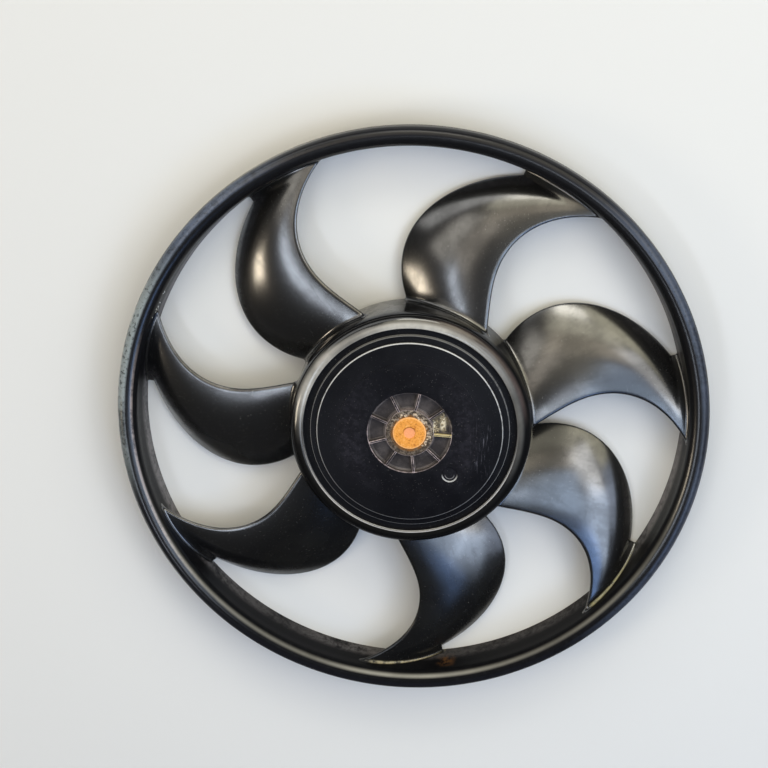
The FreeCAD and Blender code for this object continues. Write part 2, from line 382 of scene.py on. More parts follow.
def tipStrip(angle, height, name):
    part = (angle - tipDirt[name]) / tipDirt["span"]
    above = height - tipDirt["lead"] + part * tipDirt["drop"] - part * (1 - part) * tipDirt["bow"]
    return band(above, *tipDirt["thick"]) * band(part, *tipDirt["long"])


bladeLook = {
    "colour": (0.0045, 0.0045, 0.005), "film": ((0.0135, 0.013, 0.011), 0.25),
    "speck": ((0.3, 0.29, 0.27), 0.5), "moss": ((0.3, 0.27, 0.11), 0.85, 0.3, 0.55),
    "cream": ((0.42, 0.36, 0.22), 0.8, 0.32, 0.56),
    "roughness": 0.2, "coat": 0.86, "coatRoughness": 0.2, "coatIor": 2.4, "specular": 0.2, "bump": 0.1,
    "blotches": (70, 4, 0.55, 0.2, 0.8), "clouds": (16, 3, 0.6, 0.25, 0.75),
    "smoke": (34, 6, 0.62, 0.38, 0.62), "specks": (1300, 2, 0.6, 0.7, 0.74),
    "lines": ((0.06, 0.5), 5, 0.45, 0.7), "grain": (260, 6, 0.7), "pits": (330, 4, 0.7),
    "byWall": (ringRadius - 15.4, ringRadius - 14.2), "widened": 28, "widenedTurn": (-106, -85, 5),
    # Amount, angles and radii of two dull patches towards a tip, two by a root, one along an edge
    "dull": [
        (0.8, (-112, -60, 10), (107, 300, 15)), (0.75, (-140, -113, 6), (0, 300, 1)),
        (0.6, (-18, 3, 6), (0, 105, 9)), (0.5, (36, 52, 6), (0, 117, 11)),
        (0.55, (6, 17, 4), (125, 178, 8)),
    ],
}


def makeBladePlastic():
    look = bladeLook
    material, graph, shader = newMaterial("bladePlastic")
    place, radius, angle, height = wheelPlace(graph, "place radius angle height")
    blotch = pattern(place, *look["blotches"])
    cloud = pattern(place, *look["clouds"])
    smoke = pattern(place, *look["smoke"])
    lines = streaks(radius, angle, *look["lines"])
    colour = paint(look["colour"], look, "film", cloud + smoke)
    colour = paint(colour, look, "speck", pattern(place, *look["specks"]))
    reach = radius + look["widened"] * band(angle, *look["widenedTurn"])
    dull = sum(amount * band(angle, *turns) * band(reach, *radii) for amount, turns, radii in look["dull"])
    # Moss and dirt gather along the lower two tips
    grain = noise(place, *look["grain"])
    byWall = ramp(radius, *look["byWall"])
    for name in ("moss", "cream"):
        colour = paint(colour, look, name, tipStrip(angle, height, name) * byWall, grain)
    roughness = look["roughness"] + smoke * 0.07 + blotch * 0.05 + lines * 0.04
    coat = (look["coat"] - smoke * 0.24 - blotch * 0.12) * (1 - lines * 0.12) * (1 - dull)
    feed(graph, shader, look, colour, roughness, noise(place, *look["pits"]), coat)
    return material


ringLook = {
    "colour": (0.005, 0.005, 0.006), "crestDust": ((0.008, 0.008, 0.009), 1, 0.45, 0.7),
    "wallDustAndBounce": ((0.16, 0.15, 0.152), 1), "scuff": (0.009, 0.009, 0.012),
    "leftScuff": ((0.26, 0.295, 0.305), 1), "paintedBlueReflection": ((0.1, 0.125, 0.185), 1),
    "fleck": ((0.01, 0.012, 0.014), 1), "paleEdge": ((0.5, 0.52, 0.53), 0.85),
    "pinkLine": ((0.26, 0.215, 0.2), 1, 0.75, 1.1), "paintedCrestHighlight": ((0.42, 0.4, 0.34), 1),
    "moss": ((0.28, 0.25, 0.12), 0.9, 0.28, 0.52), "brown": ((0.13, 0.06, 0.02), 0.7, 0.42, 0.62),
    "cream": ((0.46, 0.4, 0.24), 1, 0.28, 0.5),
    "roughness": 0.34, "specular": 0.05, "coat": 0.9, "coatRoughness": 0.22, "coatIor": 1.6, "bump": 0.2,
    "grain": (260, 6, 0.7), "clouds": (24, 5, 0.6), "flecks": (420, 4, 0.7, 0.54, 0.62),
    "lipNoise": (190, 5, 0.7, 0.4, 0.6),
    # Ramps over the grain and the clouds
    "dustGrain": (0.2, 0.7), "wornGrain": (0.2, 0.55), "crestHighlightCloud": (0.35, 0.6),
    # Ramps and bands over height and radius
    "dustAndBounceHeight": (7, 14), "dustAndBounceDepth": (0.8, 1.7), "wornHeight": (26, 29), "lipHeight": (20, 24),
    "crestHighlightHeight": (18, 25), "brownHeight": (9, 20, 4),
    "inside": (ringRadius - 11.6, ringRadius - 10.4), "outer": (ringRadius - 6.5, ringRadius - 4.5),
    "lipRadius": (ringRadius - 1.3, ringRadius - 0.5),
    "pinkRadius": (ringRadius - 10.4, ringRadius - 9, 0.4),
    "crestHighlightRadius": (ringRadius - 10.4, ringRadius - 9.6, 1.5),
    # Bands westward, then bands over the angle
    "bottom": (222, 325, 14), "bottomDustAndBounce": (250, 276, 6), "left": (146, 188, 12),
    "blueLeft": (122, 146, 10), "lip": (152, 214, 8), "pink": (168, 214, 10),
    "film": (203, 336, 20), "fullCrestHighlight": (255, 286, 12),
    "blueRight": (6, 46, 10), "blueLow": (-48, -4, 10), "dull": (-60, 108, 12),
    "brownTurn": (-83.5, -80.5, 1.2),
}


def makeRingPlastic():
    look = ringLook
    material, graph, shader = newMaterial("ringPlastic")
    place, radius, angle, westward, height = wheelPlace(graph, "place radius angle westward height")
    grain = noise(place, *look["grain"])
    cloud = noise(place, *look["clouds"])
    inside = 1 - ramp(radius, *look["inside"])
    colour = paint(look["colour"], look, "crestDust", 1, grain)
    # Dust and painted bounce light lie low on the wall's inner face, and thinly at the bottom
    dustAndBounce = inside * (1 - ramp(height, *look["dustAndBounceHeight"]))
    dustAndBounce = dustAndBounce * ramp(grain + (cloud - 0.5), *look["dustGrain"])
    wallFace = throatRadius - ring["draft"] * (1 - height / ring["throatHeight"])
    dustAndBounce = dustAndBounce * (1 - 0.8 * ramp(radius - wallFace, *look["dustAndBounceDepth"]))
    bottom = band(westward, *look["bottom"])
    dustAndBounce = dustAndBounce * (1 - bottom * (0.65 - 0.4 * band(westward, *look["bottomDustAndBounce"])))
    colour = paint(colour, look, "wallDustAndBounce", dustAndBounce)
    # The crest is scuffed grey on the left, has a painted bluish reflection above that, on the right and
    # low on the right, and is polished pale below
    left = band(westward, *look["left"])
    # The blue mask marks where a bluish reflection is painted onto the crest
    blue = band(westward, *look["blueLeft"]) + 0.5 * band(angle, *look["blueRight"])
    blue = blue + 0.3 * band(angle, *look["blueLow"])
    outer = ramp(radius, *look["outer"])
    wearAndPaintedHighlight = ramp(height, *look["wornHeight"]) * outer
    wearAndPaintedHighlight = wearAndPaintedHighlight * ramp(cloud + (grain - 0.5) * 0.5, *look["wornGrain"])
    scuff = paint(look["scuff"], look, "leftScuff", left)
    scuff = paint(scuff, look, "paintedBlueReflection", blue)
    scuff = paint(scuff, look, "fleck", pattern(place, *look["flecks"]) * (0.45 + left * 0.4))
    colour = graph.mixColour(wearAndPaintedHighlight, colour, scuff)
    lip = band(westward, *look["lip"]) * ramp(radius, *look["lipRadius"])
    lip = lip * ramp(height, *look["lipHeight"]) * pattern(place, *look["lipNoise"])
    colour = paint(colour, look, "paleEdge", lip)
    pink = band(westward, *look["pink"]) * band(radius, *look["pinkRadius"])
    colour = paint(colour, look, "pinkLine", pink, cloud + grain)
    # The film mask paints a cream highlight along the inner side of the crest, brightest at the bottom
    film = band(westward, *look["film"]) * band(radius, *look["crestHighlightRadius"])
    film = film * ramp(height, *look["crestHighlightHeight"]) * (0.72 + 0.75 * band(westward, *look["fullCrestHighlight"]))
    film = (film * atLeast(0.75, ramp(cloud, *look["crestHighlightCloud"]))).clamped()
    colour = paint(colour, look, "paintedCrestHighlight", film)
    # Moss and brown stains beside the lower blade tips
    colour = paint(colour, look, "moss", tipStrip(angle, height, "moss") * inside, grain)
    brown = band(angle, *look["brownTurn"]) * inside * band(height, *look["brownHeight"])
    colour = paint(colour, look, "brown", brown, grain)
    colour = paint(colour, look, "cream", tipStrip(angle, height, "cream") * inside, grain)
    roughness = look["roughness"] + wearAndPaintedHighlight * 0.1 + (grain - 0.5) * 0.3 + inside * 0.1
    coat = look["coat"] * (1 - left * wearAndPaintedHighlight) * (1 - inside * 0.8) * (1 - bottom * 0.95)
    coat = coat * (1 - 0.6 * band(angle, *look["dull"]) * outer)
    feed(graph, shader, look, colour, roughness, grain, coat)
    return material


shoulderLook = {
    "colour": (0.0045, 0.0045, 0.005), "brown": ((0.16, 0.12, 0.11), 0.6), "rimLandHighlight": ((0.5, 0.48, 0.46), 1),
    "roughness": 0.26, "coatRoughness": 0.12, "coatIor": 1.7, "specular": 0.04, "bump": 0.06,
    "blotches": (110, 6, 0.65, 0.4, 0.68), "clouds": (30, 4, 0.6, 0.35, 0.65), "pits": (330, 3, 0.6),
    "lit": (-25, 70), "right": (-55, 55, 14),
    "highlightRadius": (rimStart + 1.6, rimStart + 5), "widened": 2.5, "widenedTurn": (130, 172, 12),
    "brownTurn": (12, 75, 12), "brownRadius": (rimStart + 3.6, hub["radius"] - 2.5, 1.2),
    "rimLandHighlightUpward": (-45, 5), "rimLandHighlightRadius": (rimStart - 0.45, rimStart + 0.25, 0.12),
    # How pale the painted highlight on the edge is at angles westward, and its hue
    "wearAndPaintedHighlight": [
        (0, 0.13), (20, 0.13), (40, 0.3), (60, 0.42), (80, 0.54), (100, 0.5), (120, 0.26),
        (142, 0.42), (164, 0.4), (178, 0.12), (188, 0.01), (330, 0.01), (360, 0.13),
    ],
    "highlightHue": (1, 0.965, 0.89),
}


def makeShoulderPlastic():
    look = shoulderLook
    material, graph, shader = newMaterial("shoulderPlastic")
    measures = wheelPlace(graph, "place radius angle westward across upward")
    place, radius, angle, westward, across, upward = measures
    blotch = pattern(place, *look["blotches"])
    cloud = pattern(place, *look["clouds"])
    lit = ramp(upward - across * 0.4, *look["lit"])
    right = band(angle, *look["right"])
    # The edge beside the groove carries a painted cream highlight, by an amount that changes round the hub
    stops = [(turn / 360, [pale * hue for hue in look["highlightHue"]]) for turn, pale in look["wearAndPaintedHighlight"]]
    paintedHighlight = graph.make("ShaderNodeValToRGB", {"Fac": westward / 360}, {"stops": stops})
    widened = look["widened"] * band(angle, *look["widenedTurn"])
    wearAndPaintedHighlight = 1 - ramp(radius - widened, *look["highlightRadius"])
    colour = graph.mixColour(wearAndPaintedHighlight * atLeast(0.68, cloud) * atLeast(0.88, blotch), look["colour"], paintedHighlight)
    brown = band(angle, *look["brownTurn"]) * band(radius, *look["brownRadius"])
    colour = paint(colour, look, "brown", brown * atLeast(0.5, cloud))
    # A painted highlight along the rim's inner edge, on the lower side of the hub
    rimLandHighlight = band(radius, *look["rimLandHighlightRadius"]) * (1 - ramp(upward, *look["rimLandHighlightUpward"]))
    colour = paint(colour, look, "rimLandHighlight", rimLandHighlight * atLeast(0.7, cloud))
    roughness = look["roughness"] + blotch * 0.06 + right * 0.12
    coat = atLeast(0.03, lit) * (1 - blotch * 0.2) * (1 - right * 0.5)
    feed(graph, shader, look, colour, roughness, noise(place, *look["pits"]), coat)
    return material


halfSpoke = spoke["width"] / 2
faceLook = {
    "colour": (0.0035, 0.0035, 0.005), "dust": ((0.02, 0.019, 0.025), 1),
    "scratch": ((0.15, 0.15, 0.18), 0.7), "pocket": ((0.075, 0.065, 0.064), 1),
    "foot": ((0.17, 0.15, 0.145), 1), "rim": ((0.56, 0.46, 0.46), 0.85),
    "paintedEdgeHighlight": ((0.6, 0.6, 0.6), 1), "boss": ((0.045, 0.034, 0.026), 1),
    "bossDust": ((0.34, 0.28, 0.22), 1), "rustDirt": ((0.2, 0.09, 0.025), 1, 0.35, 0.6),
    "sand": ((0.26, 0.215, 0.13), 1), "smear": ((0.72, 0.64, 0.47), 1),
    "cream": ((0.6, 0.5, 0.27), 1, 0.3, 0.5), "speck": ((0.3, 0.29, 0.28), 0.3),
    "roughness": 0.3, "specular": 0.14, "bump": 0.12,
    "grain": (300, 6, 0.7), "clouds": (22, 5, 0.6), "blotches": (90, 6, 0.65, 0.42, 0.68),
    "scratches": ((1.1, 0.12), 4, 0.55, 0.72), "rimNoise": (75, 3, 0.6, 0.4, 0.58),
    "bossNoise": (480, 5, 0.8, 0.46, 0.6), "sandNoise": (130, 4, 0.6),
    "smearNoise": (210, 4, 0.6, 0.2, 0.44), "specks": (1200, 2, 0.6, 0.69, 0.73),
    # Ramps over the grain and the clouds
    "dustCloud": (0.4, 0.65), "dustGrain": (0.4, 0.65), "rimGrain": (0.2, 0.6),
    "edgeGrain": (0.5, 1), "sandGrain": (0.35, 0.6), "thickSand": (0.44, 0.7),
    # Ramps over radius and height
    "dustRadius": (40, 54), "bossRadius": (bossEdge - 0.8, bossEdge),
    "rustRadius": (bush["radius"] + 0.4, bush["radius"] + 2.4),
    "pocketTop": (hubHeight - 1, hubHeight - 0.4), "rimTop": (hubHeight - 1.4, hubHeight - 0.4),
    "footTop": (pocketFloor + 0.3, pocketFloor + 1), "discTop": (outerFace - 1.5, outerFace - 1),
    "grooveTop": (hubRim - 2, hubRim - 1.4), "creamTop": (hubHeight - 3, hubHeight - 1),
    # Ramps and bands across and upward
    "dustAcross": (12, 40), "scratchAcross": (42, 52, 4), "scratchUpward": (-26, 6, 8),
    "rimHighlightUpward": (2, 14), "edgeHighlightUpward": (-45, 35), "bossUpward": (-8, 8),
    "smears": [((20, 23.2, 1), (1.5, 10.5, 1.5)), ((15.4, 16.8, 0.5), (1, 7, 1))],
    # Bands over the radius
    "pockets": (bossEdge, pocketEdge + 0.2, 0.2),
    "pocketRim": (pocketEdge - 0.5, pocketEdge + 0.4, 0.15),
    "bossRim": (bossEdge - 0.6, bossEdge + 0.1, 0.2),
    "pocketFoot": (pocketEdge - 1.3, pocketEdge, 0.2),
    "bossFoot": (bossEdge, bossEdge + 1.1, 0.2),
    "discRim": (discEdge - 0.6, discEdge + 0.2, 0.12),
    "grooveInside": (grooveInside - 0.3, grooveInside + 0.2, 0.12),
    "grooveOutside": (grooveOutside - 0.4, grooveOutside + 0.2, 0.12),
    "sandRadius": (18, pocketEdge, 1.5),
    # Bands sideways from a spoke's middle, from the mark's middle, and over the angle
    "spokeRim": (halfSpoke - 0.4, halfSpoke + 0.1, 0.1), "spokeFoot": (halfSpoke, halfSpoke + 0.8, 0.2),
    "creamSpoke": (halfSpoke - 0.5, halfSpoke + 0.4, 0.15), "markLitSide": (-0.1, 0.6),
    "markRim": (mark["radius"] - 0.6, mark["radius"] + 0.1, 0.1),
    "markInside": (mark["radius"] - 2.3, mark["radius"] - 1.9, 0.2),
    "sandTurn": (-2.5, 33, 2), "sandMiddle": (8, 22, 5), "creamTurn": (-8, 1, 1),
}


def makeFacePlastic():
    look = faceLook
    material, graph, shader = newMaterial("facePlastic")
    measures = wheelPlace(graph, "place radius angle height across upward")
    place, radius, angle, height, across, upward = measures
    grain = noise(place, *look["grain"])
    cloud = noise(place, *look["clouds"])
    blotch = pattern(place, *look["blotches"])
    # Dust and faint scratches on the flat face
    dust = 0.35 * ramp(cloud, *look["dustCloud"])
    dust = dust + 0.65 * ramp(across.calc("ABSOLUTE"), *look["dustAcross"])
    dust = dust * atLeast(0.3, ramp(grain, *look["dustGrain"])) * (1 - ramp(radius, *look["dustRadius"]))
    colour = paint(look["colour"], look, "dust", dust)
    scratched = band(across, *look["scratchAcross"]) * band(upward, *look["scratchUpward"])
    colour = paint(colour, look, "scratch", scratched * streaks(across, upward, *look["scratches"]))
    # Pockets, with a painted highlight on their rims and spoke edges that is stronger on the lower side,
    # and dust at the foot of their walls
    inPockets = band(radius, *look["pockets"])
    floor = inPockets * (1 - ramp(height, *look["pocketTop"]))
    colour = paint(colour, look, "pocket", floor * atLeast(0.45, blotch))
    pitch = 360 / spoke["count"]
    sector = (angle - spoke["angle"] + pitch / 2).calc("FLOORED_MODULO", pitch) - pitch / 2
    offset = (radius * (sector * (math.pi / 180)).calc("SINE")).calc("ABSOLUTE")
    foot = band(offset, *look["spokeFoot"]) * inPockets
    foot = foot + band(radius, *look["pocketFoot"]) + band(radius, *look["bossFoot"])
    foot = (foot * (1 - ramp(height, *look["footTop"]))).clamped()
    colour = paint(colour, look, "foot", foot * atLeast(0.4, blotch))
    rimHighlights = band(radius, *look["pocketRim"]) * (1 - 0.85 * ramp(upward, *look["rimHighlightUpward"]))
    rimHighlights = (rimHighlights + band(offset, *look["spokeRim"]) * inPockets) * ramp(height, *look["rimTop"])
    rimHighlights = rimHighlights * atLeast(0.35, pattern(place, *look["rimNoise"])) + band(radius, *look["bossRim"]) * 0.6
    colour = paint(colour, look, "rim", (rimHighlights * ramp(grain, *look["rimGrain"])).clamped())
    # Painted highlights on the edges of the disc and the groove, and on the round mark's lower rim, mostly
    # on the sides that face the light
    up = ramp(upward, *look["edgeHighlightUpward"])
    edges = band(radius, *look["discRim"]) * atLeast(0.25, up) * ramp(height, *look["discTop"])
    edges = edges + 0.35 * band(radius, *look["grooveInside"])
    edges = edges + band(radius, *look["grooveOutside"]) * (1 - up) * ramp(height, *look["grooveTop"])
    edges = (edges * ramp(cloud + grain, *look["edgeGrain"])).clamped()
    colour = paint(colour, look, "paintedEdgeHighlight", edges)
    markAcross = across - markX
    markUpward = upward - markY
    markOut = (markAcross * markAcross + markUpward * markUpward).calc("SQRT")
    markHighlight = band(markOut, *look["markRim"]) + 0.4 * band(markOut, *look["markInside"])
    markHighlight = markHighlight * ramp(-markUpward / markOut, *look["markLitSide"])
    colour = paint(colour, look, "paintedEdgeHighlight", markHighlight * 0.75)
    # Dirt round the bush and in two of the pockets
    boss = 1 - ramp(radius, *look["bossRadius"])
    colour = paint(colour, look, "boss", boss)
    bossDust = boss * pattern(place, *look["bossNoise"])
    bossDust = bossDust * atLeast(0.4, ramp(upward + across * 0.4, *look["bossUpward"]))
    colour = paint(colour, look, "bossDust", bossDust)
    colour = paint(colour, look, "rustDirt", 1 - ramp(radius, *look["rustRadius"]), grain)
    sand = noise(place, *look["sandNoise"]) + band(angle, *look["sandMiddle"]) * 0.15
    sand = ramp(sand, *look["thickSand"]) * atLeast(0.4, ramp(grain, *look["sandGrain"]))
    dirty = band(angle, *look["sandTurn"]) * band(radius, *look["sandRadius"])
    colour = paint(colour, look, "sand", dirty * sand)
    smear = sum(band(across, *wide) * band(upward, *high) for wide, high in look["smears"])
    colour = paint(colour, look, "smear", smear * pattern(place, *look["smearNoise"]))
    cream = (band(offset, *look["creamSpoke"]) + 0.12) * band(angle, *look["creamTurn"]) * inPockets
    colour = paint(colour, look, "cream", cream * ramp(height, *look["creamTop"]), grain)
    colour = paint(colour, look, "speck", pattern(place, *look["specks"]))
    feed(graph, shader, look, colour, look["roughness"] + blotch * 0.1, grain)
    return material


rustLook = {
    "colour": (0.5, 0.17, 0.025), "orange": ((0.8, 0.33, 0.055), 1, 0.35, 0.5),
    "pale": ((0.92, 0.5, 0.18), 0.7, 0.55, 0.68),
    "rim": ((0.95, 0.5, 0.2), 0.7), "centre": ((0.9, 0.36, 0.17), 0.85),
    "shade": ((0.3, 0.09, 0.02), 0.8),
    "roughness": 0.75, "specular": 0.3, "bump": 0.5,
    "grain": (700, 5, 0.7),
    "rimRadius": (bush["radius"] - 1.3, bush["radius"] - 0.5),
    "centreRadius": (bush["centreRadius"] - 0.5, bush["centreRadius"] - 0.2),
    "shadeRadius": (bush["centreRadius"] - 0.1, bush["centreRadius"] + 0.5, 0.2),
    "shadeUpward": (0, 2.5),
}


def makeRust():
    look = rustLook
    material, graph, shader = newMaterial("rustySteel")
    place, radius, upward = wheelPlace(graph, "place radius upward")
    grain = noise(place, *look["grain"])
    colour = paint(look["colour"], look, "orange", 1, grain)
    colour = paint(colour, look, "pale", 1, grain)
    # A painted highlight round the bush's outer rim
    colour = paint(colour, look, "rim", ramp(radius, *look["rimRadius"]))
    colour = paint(colour, look, "centre", 1 - ramp(radius, *look["centreRadius"]))
    shade = band(radius, *look["shadeRadius"]) * ramp(upward, *look["shadeUpward"])
    colour = paint(colour, look, "shade", shade)
    feed(graph, shader, look, colour, look["roughness"], grain)
    return material


dirtLook = {
    "crumbDirt": (0.66, 0.52, 0.38), "crumbSand": (0.4, 0.33, 0.22), "crumbPale": (0.7, 0.7, 0.68),
    "darker": 0.45, "grains": (900, 4, 0.6, 0.35, 0.65), "roughness": 0.85, "specular": 0.3, "bump": 0.5,
}


def makeDirt(name):
    look = dirtLook
    material, graph, shader = newMaterial(name)
    grain = pattern(wheelPlace(graph, "place")[0], *look["grains"])
    darker = [c * look["darker"] for c in look[name]]
    colour = graph.mixColour(grain, darker, look[name])
    feed(graph, shader, look, colour, look["roughness"], grain)
    return material


bladePlastic = makeBladePlastic()
ringPlastic = makeRingPlastic()
shoulderPlastic = makeShoulderPlastic()
facePlastic = makeFacePlastic()
rustySteel = makeRust()
crumbDirt = makeDirt("crumbDirt")
crumbSand = makeDirt("crumbSand")
crumbPale = makeDirt("crumbPale")
print("materials made")


# Outer ring

def makeRing():
    throatBead = ring["rimWidth"] - ring["beadRadius"]
    wall = ring["wall"]
    rear = throatRadius - ring["draft"]
    skirtEnd = ring["height"] - ring["skirtDepth"]
    skirtInside = ringRadius - wall
    outline = roundedOutline([
        (rear, 0, ring["edge"]),
        (throatRadius, ring["throatHeight"], ring["throatRound"]),
        (throatRadius, ring["height"], throatBead),
        (ringRadius, ring["height"], ring["beadRadius"]),
        (ringRadius, skirtEnd, ring["edge"]),
        (skirtInside, skirtEnd, ring["edge"]),
        (skirtInside, ring["height"] - wall, ring["beadRadius"] - wall),
        (throatRadius + wall, ring["height"] - wall, throatBead - wall),
        (throatRadius + wall, ring["throatHeight"], ring["throatRound"]),
        (rear + wall, 0, ring["edge"]),
    ], ring["arcStep"])
    item = spin("outerRing", outline, ring["segments"])
    item.data.materials.append(ringPlastic)
    return item


outerRing = makeRing()
print("ring made")


# Hub cup

def cutMark(item):
    # A shallow round recess in the face, with an eased rim
    radius = mark["radius"]
    depth = mark["depth"]
    ease = mark["ease"]
    cutter = spin("markCutter", [
        (0, -depth), (radius - 2 * ease, -depth), (radius - ease, ease - depth),
        (radius - ease, -ease), (radius, 0), (radius, 1), (0, 1),
    ], mark["segments"])
    cutter.data.transform(Matrix.Translation(Vector((markX, markY, hubHeight)) * mm))
    cut = item.modifiers.new("Cut", "BOOLEAN")
    cut.operation = "DIFFERENCE"
    cut.solver = "EXACT"
    cut.object = cutter
    applyModifiers(item)
    bpy.data.objects.remove(cutter)
    closeUp(item.data)
    smooth(item)


def makeHub():
    wall = hub["wall"]
    edge = hub["edge"]
    cupInside = hub["radius"] - wall
    ledge = hubHeight - hub["ledgeDrop"]
    bossEnd = hubHeight - hub["bossLength"]
    markSide = mark["radius"] + mark["margin"]
    outline = roundedOutline([
        (bush["radius"], hubHeight, hub["bushEdge"]),
        (bossEdge, hubHeight, edge),
        (bossEdge, pocketFloor, edge),
        (pocketEdge, pocketFloor, edge),
        (pocketEdge, hubHeight, edge),
        (mark["reach"] - markSide, hubHeight, 0),
        (mark["reach"] + markSide, hubHeight, 0),
        (hub["faceStepRadius"], hubHeight, hub["stepEdge"]),
        (hub["faceStepRadius"], outerFace, hub["stepEdge"]),
        (discEdge, outerFace, hub["discChamfer"]),
        (discEdge, ledge, edge),
        (grooveInside, ledge, edge),
        (grooveInside, grooveFloor, edge),
        (grooveOutside, grooveFloor, edge),
        (grooveOutside, hubRim, hub["rimEdge"]),
        (hub["radius"], hubRim, hub["shoulder"]),
        (hub["radius"], hub["rear"], edge),
        (cupInside, hub["rear"], edge),
        (cupInside, grooveFloor - wall, hub["cupBevel"]),
        (discEdge - wall, grooveFloor - wall, edge),
        (discEdge - wall, outerFace - wall, edge),
        (pocketEdge + wall, outerFace - wall, edge),
        (pocketEdge + wall, pocketFloor - wall, edge),
        (bossEdge, pocketFloor - wall, edge),
        (bossEdge, bossEnd, edge),
        (bush["radius"], bossEnd, hub["bushEdge"]),
    ], hub["arcStep"])
    item = spin("hubCup", outline, hub["segments"])
    cutMark(item)
    item.data.materials.append(facePlastic)
    item.data.materials.append(shoulderPlastic)
    for face in item.data.polygons:
        face.material_index = 1 if face.center.xy.length > grooveOutside * mm else 0
    return item


def prism(name, corners, width):
    # An upright plate in the XZ plane, as thick as width
    count = len(corners)
    near = [(x, -width / 2, z) for x, z in corners]
    far = [(x, width / 2, z) for x, z in corners]
    sides = [(k, (k + 1) % count, count + (k + 1) % count, count + k) for k in range(count)]
    faces = [tuple(range(count)), tuple(range(2 * count - 1, count - 1, -1)), *sides]
    item = meshObject(name, near + far, faces)
    closeUp(item.data)
    return item


def roundEdges(item, width):
    work = bmesh.new()
    work.from_mesh(item.data)
    edges = [edge for edge in work.edges if edge.calc_face_angle(0) > math.radians(30)]
    bmesh.ops.bevel(work, geom=edges, offset=width * mm, segments=2, affect="EDGES", profile=0.5)
    work.to_mesh(item.data)
    work.free()


def makeSpokes():
    floor = pocketFloor - spoke["sink"]
    top = hubHeight - spoke["below"]
    inside = bossEdge - spoke["overlap"]
    outside = pocketEdge + spoke["overlap"]
    corners = [(inside, floor), (outside, floor), (outside, top), (inside, top)]
    item = prism("spokes", corners, spoke["width"])
    roundEdges(item, spoke["edge"])
    aroundAxis(item, facePlastic, {"Count": spoke["count"], "Start Angle": spoke["angle"]})
    smooth(item)
    return item


def makeCupRibs():
    wall = hub["wall"]
    bite = wall / 2
    ribEnd = grooveFloor - wall - cupRib["height"]
    side = hub["radius"] - wall + bite
    item = prism("cupRibs", [
        (bossEdge - bite, ribEnd),
        (side, ribEnd),
        (side, grooveFloor - bite),
        (discEdge - bite, grooveFloor - bite),
        (discEdge - bite, outerFace - bite),
        (pocketEdge + bite, outerFace - bite),
        (pocketEdge + bite, pocketFloor - bite),
        (bossEdge - bite, pocketFloor - bite),
    ], cupRib["width"])
    roundEdges(item, cupRib["edge"])
    aroundAxis(item, facePlastic, {"Count": spoke["count"], "Start Angle": cupRib["angle"]})
    smooth(item)
    return item


def makeBush():
    top = hubHeight + bush["proud"]
    bottom = hubHeight - hub["bossLength"]
    outline = roundedOutline([
        (0, top - bush["centreDepth"], 0),
        (bush["centreRadius"], top - bush["centreDepth"], bush["centreEdge"]),
        (bush["centreRadius"], top, bush["centreEdge"]),
        (bush["radius"], top, bush["chamfer"]),
        (bush["radius"], bottom, bush["rearEdge"]),
        (bush["bore"], bottom, bush["rearEdge"]),
        (bush["bore"], top - bush["cap"], bush["boreEdge"]),
        (0, top - bush["cap"], 0),
    ], bush["arcStep"])
    item = spin("turnedBush", outline, bush["segments"])
    item.data.materials.append(rustySteel)
    return item


hubCup = makeHub()
spokes = makeSpokes()
cupRibs = makeCupRibs()
turnedBush = makeBush()
print("hub made")


# Blades: one rule shapes the section at every radius, and seven copies stand at uneven angles

bladeSizes = {
    "Hub Radius": float(hub["radius"]), "Throat Radius": throatRadius, "Draft": ring["draft"],
    "Throat Height": ring["throatHeight"],
    "Lead Root Angle": -0.8, "Lead Bulge Angle": 9.6, "Lead Bulge Reach": 45.0, "Lead Tip Angle": -4.2,
    "Trail Root Angle": 40.0, "Trail Bulge Angle": 41.7, "Trail Bulge Reach": 16.5,
    "Trail Corner Angle": 13.7, "Trail Corner Inset": 6.8,
    "Lead Root Height": 29.0, "Lead Tip Height": 18.0, "Trail Root Height": 7.4, "Trail Tip Height": 1.6,
    "Camber": 4.6, "Lead Thickness": 2.8, "Trail Thickness": 1.6,
    "Nose Length": 2.0, "Tail Length": 0.8, "Root Fillet": 3.0, "Tip Fillet": 1.8, "Sink": 0.4,
    "Angle 1": 0.0, "Angle 2": 52.6, "Angle 3": 112.6, "Angle 4": 160.3,
    "Angle 5": 205.5, "Angle 6": 263.4, "Angle 7": 315.1,
}
bladeMesh = {
    "around": 73, "outward": 90, "rootRows": 0.12, "tipRows": 0.84, "crowding": 1.5, "lowest": 0.05,
    "count": 7,
}


def mixed(start, end, part):
    return start + (end - start) * part


def bowed(radius, root, bulge, tip):
    outside = radius.calc("GREATER_THAN", bulge[0])
    inward = (radius - bulge[0]) / (root[0] - bulge[0])
    outward = (radius - bulge[0]) / (tip[0] - bulge[0])
    rootDrop = inward * inward * (bulge[1] - root[1])
    tipDrop = outward * outward * (bulge[1] - tip[1])
    return bulge[1] - mixed(rootDrop, tipDrop, outside)


def fillet(distance, size):
    gap = size - distance.calc("MAXIMUM", 0).calc("MINIMUM", size)
    return size - (size * size - gap * gap).calc("SQRT")


def quarterEase(distance, length):
    part = 1 - (distance / length).clamped()
    return (1 - part * part).calc("SQRT"), part


